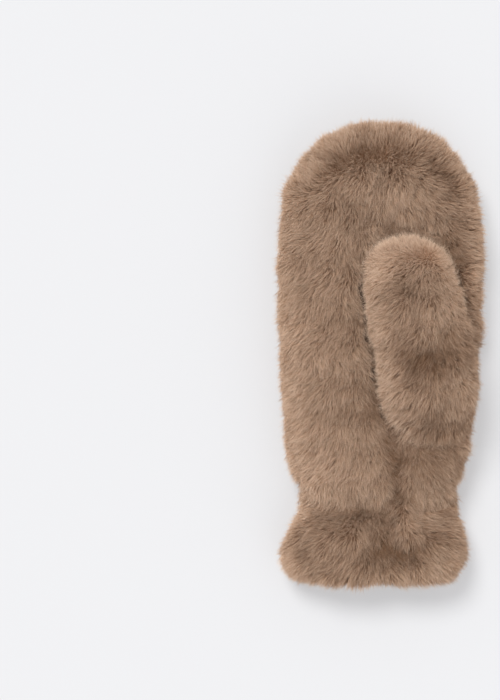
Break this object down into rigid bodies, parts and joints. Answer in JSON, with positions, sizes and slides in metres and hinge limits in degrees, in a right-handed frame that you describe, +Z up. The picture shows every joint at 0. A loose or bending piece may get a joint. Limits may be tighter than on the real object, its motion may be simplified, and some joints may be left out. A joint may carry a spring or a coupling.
{
  "type": "fur mitten",
  "caption": "Soft mitten of deep faux fur for the right hand, lying palm up: hollow hand with a gathered wrist, a flared cuff, and a separate hollow thumb folded over the palm.",
  "frame": {"origin": "on the surface that the mitten lies on, below the middle of its box", "axes": "+Y points to the fingertips, +X to the thumb's side, +Z up out of the palm"},
  "size_m": [0.1222, 0.2762, 0.064],
  "materials": {
    "palm_fur": "deep taupe faux fur pile on a knitted backing",
    "back_fur": "deep taupe faux fur pile on a knitted backing",
    "thumb_fur": "deep taupe faux fur pile on a knitted backing"
  },
  "bodies": {
    "root": {"palm_panel": "palm_fur", "back_panel": "back_fur", "thumb": "thumb_fur"}
  },
  "joints": []
}
